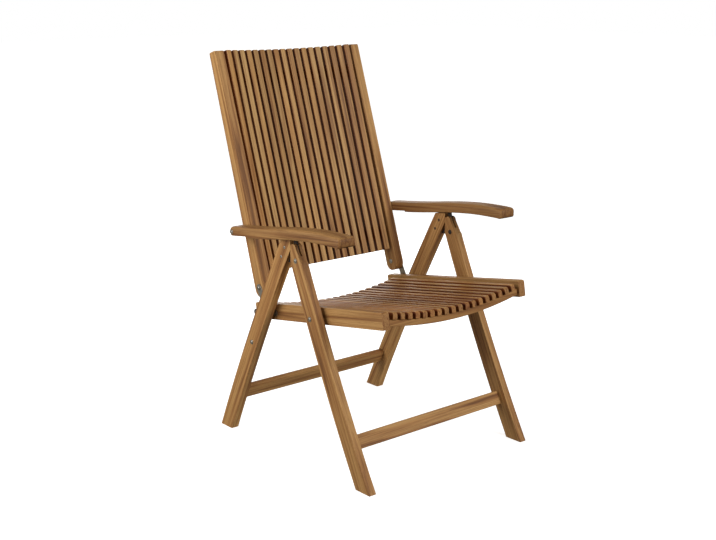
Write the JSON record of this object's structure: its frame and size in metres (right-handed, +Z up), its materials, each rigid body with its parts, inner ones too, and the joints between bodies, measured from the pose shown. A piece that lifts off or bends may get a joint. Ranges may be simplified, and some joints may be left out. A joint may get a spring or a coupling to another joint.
{
  "type": "folding armchair",
  "caption": "Folding hardwood armchair with a dished slatted seat, a tall reclining slatted back, level arms and legs that meet under the arms and fold flat.",
  "frame": {"origin": "on the floor, under the middle of the bounding box of the unfolded chair", "axes": "+Z up, -Y the way the sitter faces, +X to the sitter's left"},
  "size_m": [0.6492, 0.7644, 1.1093],
  "materials": {
    "teak": "oiled, satin",
    "steel": "satin"
  },
  "bodies": {
    "front_frame": {"front_leg_left": "teak", "front_leg_right": "teak", "front_stretcher": "teak"},
    "rear_frame": {"rear_leg_left": "teak", "rear_leg_right": "teak", "rear_stretcher": "teak"},
    "links": {"link_left": "steel", "link_right": "steel"},
    "seat": {"seat_rail_left": "teak", "seat_rail_right": "teak", "hinge_bracket_left": "steel", "hinge_bracket_right": "steel", "seat_batten_front": "teak", "seat_batten_rear": "teak", "seat_slat_01": "teak", "seat_slat_02": "teak", "seat_slat_03": "teak", "seat_slat_04": "teak", "seat_slat_05": "teak", "seat_slat_06": "teak", "seat_slat_07": "teak", "seat_slat_08": "teak", "seat_slat_09": "teak", "seat_slat_10": "teak", "seat_slat_11": "teak", "seat_slat_12": "teak", "seat_slat_13": "teak", "seat_slat_14": "teak", "seat_slat_15": "teak", "seat_slat_16": "teak", "seat_slat_17": "teak", "seat_slat_18": "teak"},
    "back_bolts": {"hinge_bolt_left": "steel", "hinge_bolt_right": "steel"},
    "back": {"back_stile_left": "teak", "back_stile_right": "teak", "back_batten_lower": "teak", "back_batten_upper": "teak", "back_slat_01": "teak", "back_slat_02": "teak", "back_slat_03": "teak", "back_slat_04": "teak", "back_slat_05": "teak", "back_slat_06": "teak", "back_slat_07": "teak", "back_slat_08": "teak", "back_slat_09": "teak", "back_slat_10": "teak", "back_slat_11": "teak", "back_slat_12": "teak", "back_slat_13": "teak", "back_slat_14": "teak", "back_slat_15": "teak", "back_slat_16": "teak", "back_slat_17": "teak", "back_slat_18": "teak"},
    "arm_bolts": {"arm_bolt_left": "steel", "arm_bolt_right": "steel"},
    "arms": {"arm_left": "teak", "arm_right": "teak"}
  },
  "joints": [
    {"name": "fold", "type": "hinge", "parent": "front_frame", "child": "seat", "pos_m": [0, -0.1252, 0.425], "axis": [-1, 0, 0], "range_deg": [0, 100]},
    {"name": "rear_legs_fold", "type": "hinge", "parent": "front_frame", "child": "rear_frame", "pos_m": [0, -0.06528, 0.574], "axis": [-1, 0, 0], "range_deg": [0, 52.8]},
    {"name": "link_fold", "type": "hinge", "parent": "rear_frame", "child": "links", "pos_m": [0, 0.14677, 0.297], "axis": [1, 0, 0], "range_deg": [0, 156]},
    {"name": "back_fold", "type": "hinge", "parent": "seat", "child": "back_bolts", "pos_m": [0, 0.15178, 0.45099], "axis": [1, 0, 0], "range_deg": [0, 92.2]},
    {"name": "recline", "type": "hinge", "parent": "back_bolts", "child": "back", "pos_m": [0, 0.15178, 0.45099], "axis": [-1, 0, 0], "range_deg": [0, 28]},
    {"name": "arm_fold", "type": "hinge", "parent": "back", "child": "arm_bolts", "pos_m": [0, 0.20403, 0.61276], "axis": [-1, 0, 0], "range_deg": [0, 107.3]},
    {"name": "arm_recline", "type": "hinge", "parent": "arm_bolts", "child": "arms", "pos_m": [0, 0.20403, 0.61276], "axis": [1, 0, 0], "range_deg": [0, 19.8]}
  ],
  "couplings": [
    {"joint": "rear_legs_fold", "follows": "fold", "ratio": 0.526},
    {"joint": "link_fold", "follows": "fold", "ratio": 1.55},
    {"joint": "back_fold", "follows": "fold", "ratio": 0.919},
    {"joint": "arm_fold", "follows": "fold", "ratio": 1.07},
    {"joint": "arm_recline", "follows": "recline", "ratio": 0.7}
  ]
}
